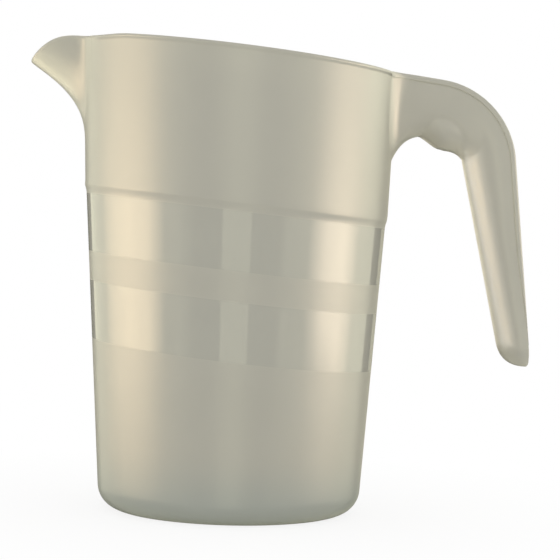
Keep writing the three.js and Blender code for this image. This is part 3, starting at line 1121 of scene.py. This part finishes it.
    def rail(self, side: int) -> Solid:
        """A rail on one edge of the trough: a rounded oblong carried along the edge as far as the grip's end.

        Args:
            side: -1 for the near edge and 1 for the far one.

        Returns:
            The solid.
        """
        v = self.rows(GRIP_END)
        edge, inward, _ = self.station(v)
        height = (self.rail_at(v) - self.joint_gap)[:, None]
        proud = self.rail_proud * (1 - ease(v, *self.panel_end))
        half = (self.width_at(v, np.zeros_like(v)) + proud)[:, None]
        width = self.wall + proud[:, None]
        turn = np.linspace(0, math.pi / 2, self.rail_rows)
        bows, rises = [], []
        for radius in (self.rail_round, self.rail_seat_round):
            fitting = np.minimum(radius, height / 2)
            bows.append(fitting * (1 - np.sin(turn)))
            rises.append(fitting * (1 - np.cos(turn)))
        across = np.concatenate([bows[0], bows[1][:, ::-1]], axis=1)
        down = np.concatenate([rises[0], height - rises[1][:, ::-1]], axis=1)
        place = edge[:, None] + inward[:, None] * down[..., None]
        skins = []
        for offset in (across, width - across):
            skin = np.stack([place[..., 0], side * (half - offset), place[..., 1]], axis=-1)
            skins.append(self.set_on_collar(skin, v, FORM.bead_proud + self.joint_gap))
        welds = np.zeros(skins[0].shape[:2], bool)
        welds[[0, -1]] = True
        welds[:, -1] = True
        return shell(*skins, welds)


def only_reflected(made: bpy.types.Object) -> None:
    """Lets a lamp or a card show in reflections alone."""
    made.visible_camera = made.visible_diffuse = made.visible_transmission = False


@dataclass(frozen=True)
class Softbox:
    """A large flat lamp with faded sides, which only shows in reflections.

    It shows on every piece, on its receivers alone, or on all but the pieces that it spares.
    """

    name: str
    place: tuple[float, float, float]
    aim: tuple[float, float, float]
    size: tuple[float, float]
    fades: tuple[float, float, float, float]
    radiance: float
    colour: str
    receivers: tuple[str, ...] = ()
    spared: tuple[str, ...] = ()

    def light(self, blockers: bpy.types.Collection) -> None:
        """Adds the lamp: its power is its radiance times pi times its area, and all its sides fade.

        Args:
            blockers: What may stand in its way. The jug's own pieces don't, so it also shows on the handle.
        """
        lamp = bpy.data.lights.new(self.name, "AREA")
        lamp.shape = "RECTANGLE"
        lamp.size, lamp.size_y = self.size
        lamp.color = linear(self.colour)[:3]
        lamp.energy = self.radiance * math.pi * self.size[0] * self.size[1]
        nodes = Nodes(lamp)
        across, up, _ = nodes.axes(nodes.add("NewGeometry")["Parametric"])
        sides = nodes.plateau(across, 0.0, 1.0, self.fades[:2])
        ends = nodes.plateau(up, 0.0, 1.0, self.fades[2:])
        nodes.show("Light", nodes.add("Emission", {"Strength": nodes.product(sides, ends)})["Emission"])
        made = add_object(self.name, lamp)
        made.location = self.place
        made.rotation_euler = (Vector(self.aim) - Vector(self.place)).to_track_quat("-Z", "Y").to_euler()
        only_reflected(made)
        made.light_linking.blocker_collection = blockers
        if self.receivers or self.spared:
            linked = bpy.data.collections.new(self.name + "_linked")
            for name in self.receivers + self.spared:
                linked.objects.link(PIECES[name])
            for item in linked.collection_objects:
                item.light_linking.link_state = "EXCLUDE" if self.spared else "INCLUDE"
            made.light_linking.receiver_collection = linked


@dataclass(frozen=True)
class Card:
    """A card that is bent round the jug and only shows in reflections. Its sides fade into the surroundings.

    Its azimuths and fades are in degrees.
    """

    name: str
    azimuths: tuple[float, float]
    fades: tuple[float, float]
    level: float
    distance: float = 0.9
    heights: tuple[float, float] = (-0.5, 0.8)
    steps: int = 12
    least_fade: float = 0.01

    def stand(self, surround: float) -> bpy.types.Object:
        """Adds the card.

        Args:
            surround: Level of the surroundings.

        Returns:
            The card.
        """
        first, last = (math.radians(azimuth) for azimuth in self.azimuths)
        half = (last - first) / 2
        azimuth, height = np.meshgrid(np.linspace(-half, half, self.steps + 1), self.heights)
        points = polar(self.distance, azimuth, height).reshape(-1, 3)
        number = np.arange(self.steps)
        above = number + self.steps + 1
        faces = np.stack([number, number + 1, above + 1, above], axis=1)
        mesh = bpy.data.meshes.new(self.name)
        mesh.from_pydata(points.tolist(), [], faces.tolist())
        mesh.materials.append(self.material(half, surround))
        made = add_object(self.name, mesh)
        made.rotation_euler.z = (first + last) / 2
        only_reflected(made)
        made.visible_shadow = False
        return made

    def material(self, half: float, surround: float) -> bpy.types.Material:
        """Makes the card's material: its level in the middle, the surroundings' at faded sides.

        Args:
            half: Half the card's angle.
            surround: Level of the surroundings.

        Returns:
            An emission material.
        """
        made = bpy.data.materials.new(self.name)
        nodes = Nodes(made)
        axes = nodes.axes(nodes.place())
        angle = nodes.add("Math", {0: axes["Y"], 1: axes["X"]}, operation="ARCTAN2")[0]
        fades = tuple(math.radians(max(fade, self.least_fade)) for fade in self.fades)
        level = nodes.ramp(nodes.plateau(angle, -half, half, fades), 0.0, 1.0, surround, self.level)
        glow = nodes.add("Emission", {"Color": linear(SURROUND_TINT), "Strength": level})
        nodes.show("Material", glow["Emission"])
        return made


@dataclass
class Studio:
    """A white floor and surroundings, two softboxes, three fills for one piece each, cards and the camera."""

    # Levels of the surroundings, and the slopes between which they change
    ambient: float = 1.0
    surround: float = 1.45
    ceiling: float = 0.5
    ceiling_slopes: tuple[float, float] = (0.1, 0.6)
    table: float = 0.42
    table_slopes: tuple[float, float] = (-0.27, -0.1)

    # Floor
    floor_size: float = 6.0
    floor_colour: str = "f2f2f0"
    floor_white: float = 0.85
    floor_fade: tuple[float, float] = (0.05, 0.2)

    # Camera
    camera_place: tuple[float, float, float] = (0.95 * MM, -823.5 * MM, 121.7 * MM)
    yaw: float = 0.02131
    pitch: float = -0.03288
    roll: float = 0.03033
    focal_pixels: float = 2012.0
    frame_pixels: float = 560.0
    sensor_width: float = 36.0
    clip: tuple[float, float] = (0.01, 100.0)

    softboxes: tuple[Softbox, ...] = (
        Softbox(
            name="softbox_left",
            place=(-0.6, -0.055, 0.1325),
            aim=(0, -0.055, 0.1325),
            size=(0.77, 0.515),
            fades=(0.48, 0.26, 0.16, 0.62),
            radiance=6.3,
            colour="ffe2b8",
            spared=("handle_rail_near", "handle_rail_far"),
        ),
        Softbox(
            name="softbox_right",
            place=(0.6, -0.131, 0.15),
            aim=(0, -0.131, 0.15),
            size=(0.582, 0.46),
            fades=(0.36, 0.33, 0.15, 0.66),
            radiance=6.9,
            colour="ffe8cc",
        ),
        Softbox(
            name="spout_fill",
            place=(-0.27, -0.022, 0.004),
            aim=(-0.27, -0.022, 1),
            size=(0.38, 0.555),
            fades=(0.25, 0.25, 0.2, 0.2),
            radiance=4.3,
            colour="fff4cc",
            receivers=("spout",),
        ),
        Softbox(
            name="grip_rim",
            place=(-0.14, 0.54, 0.18),
            aim=(0.11, 0, 0.18),
            size=(0.5, 0.5),
            fades=(0.3, 0.3, 0.15, 0.2),
            radiance=2.0,
            colour="fff3d9",
            receivers=("handle_channel",),
        ),
        Softbox(
            name="grip_fill",
            place=(-0.5, -0.1, 0.1),
            aim=(0.1, -0.1, 0.1),
            size=(1.4, 0.7),
            fades=(0.25, 0.45, 0.2, 0.2),
            radiance=2.9,
            colour="fbfaff",
            receivers=("handle_channel",),
        ),
    )
    cards: tuple[Card, ...] = (
        Card("flag_left", (226.0, 260.0), (14.0, 0.0), 0.35),
        Card("flag_right", (281.0, 310.0), (0.0, 8.0), 0.4),
        Card("flag_back", (76.0, 124.0), (0.0, 1.0), 0.1),
        Card("flag_right_side", (58.0, 76.0), (0.0, 0.0), 0.5, heights=(-0.5, 0.22)),
        Card("flag_right_back", (39.5, 58.0), (2.0, 0.0), 0.0, heights=(-0.5, 0.22)),
        Card("card_front", (260.0, 281.0), (0.0, 0.0), 1.8),
        Card("card_right", (6.0, 36.0), (8.0, 14.0), 2.0, heights=(-0.1, 0.8)),
        Card("card_right_top", (8.0, 34.0), (6.0, 12.0), 4.2, distance=0.85, heights=(0.15, 0.6)),
    )

    def build(self) -> None:
        """Sets up the surroundings, floor, cards, lamps and camera."""
        self.surroundings()
        self.floor()
        blockers = bpy.data.collections.new("lamp_blockers")
        for card in self.cards:
            blockers.objects.link(card.stand(self.surround))
        for softbox in self.softboxes:
            softbox.light(blockers)
        self.camera()
        bpy.context.scene.view_settings.view_transform = "Standard"

    def surroundings(self) -> None:
        """White to the camera and through the plastic, darker above and below in reflections, else even."""
        world = bpy.data.worlds.new("studio")
        bpy.context.scene.world = world
        nodes = Nodes(world)
        path = nodes.add("LightPath")
        climb = nodes.axes(nodes.place("Generated"))["Z"]
        ceiling = nodes.ramp(climb, *self.ceiling_slopes, 1.0, self.ceiling)
        table = nodes.ramp(climb, *self.table_slopes, self.surround * self.table, self.surround)
        around = nodes.number(path["Is Glossy Ray"], self.ambient, nodes.product(ceiling, table))
        behind = nodes.number(path["Is Transmission Ray"], around, 1.0)
        strength = nodes.number(path["Is Camera Ray"], behind, 1.0)
        tint = nodes.colour(path["Is Glossy Ray"], linear(WHITE), linear(SURROUND_TINT))
        sky = nodes.add("Background", {"Color": tint, "Strength": strength})
        nodes.show("World", sky["Background"])

    def floor(self) -> None:
        """A pale floor that keeps the jug's shadow, and is white to rays that show the background."""
        half = self.floor_size / 2
        mesh = bpy.data.meshes.new("studio_floor")
        corners = [(-half, -half, 0), (half, -half, 0), (half, half, 0), (-half, half, 0)]
        mesh.from_pydata(corners, [], [(0, 1, 2, 3)])
        paper = bpy.data.materials.new("white_paper")
        nodes = Nodes(paper)
        path = nodes.add("LightPath")
        direct = nodes.greater(path["Is Camera Ray"], path["Is Glossy Ray"])
        seen = nodes.greater(direct, path["Is Transmission Ray"])
        away = nodes.add("VectorMath", {0: nodes.place()}, operation="LENGTH")["Value"]
        white = nodes.ramp(away, *self.floor_fade, self.floor_white, 1.0)
        matt = nodes.add("BsdfDiffuse", {"Color": linear(self.floor_colour)})["BSDF"]
        glow = nodes.add("Emission", {"Color": linear(WHITE), "Strength": 1.0})["Emission"]
        both = nodes.add("MixShader", {0: nodes.product(seen, white), 1: matt, 2: glow})
        nodes.show("Material", both["Shader"])
        mesh.materials.append(paper)
        made = add_object("studio_floor", mesh)
        made.visible_glossy = False

    def camera(self) -> None:
        """The camera: it looks along +Y, turned by its yaw and pitch, then rolled about its line of sight."""
        level = np.array([math.sin(self.yaw), math.cos(self.yaw), 0.0])
        ahead = level * math.cos(self.pitch) + np.array([0.0, 0.0, math.sin(self.pitch)])
        right = np.array([math.cos(self.yaw), -math.sin(self.yaw), 0.0])
        up = np.cross(right, ahead)
        across = right * math.cos(self.roll) + up * math.sin(self.roll)
        upright = up * math.cos(self.roll) - right * math.sin(self.roll)
        data = bpy.data.cameras.new("camera")
        data.sensor_width = self.sensor_width
        data.lens = self.sensor_width * self.focal_pixels / self.frame_pixels
        data.clip_start, data.clip_end = self.clip
        made = add_object("camera", data)
        turned = Matrix(np.stack([across, upright, -ahead], axis=1).tolist()).to_4x4()
        made.matrix_world = Matrix.Translation(self.camera_place) @ turned
        bpy.context.scene.camera = made


def main() -> None:
    """Loads the frame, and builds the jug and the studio."""
    logging.basicConfig(level=logging.INFO, format="%(name)s %(message)s")
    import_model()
    Body().build()
    Collar().build()
    Handle().build()
    Studio().build()


if __name__ == "__main__":
    main()
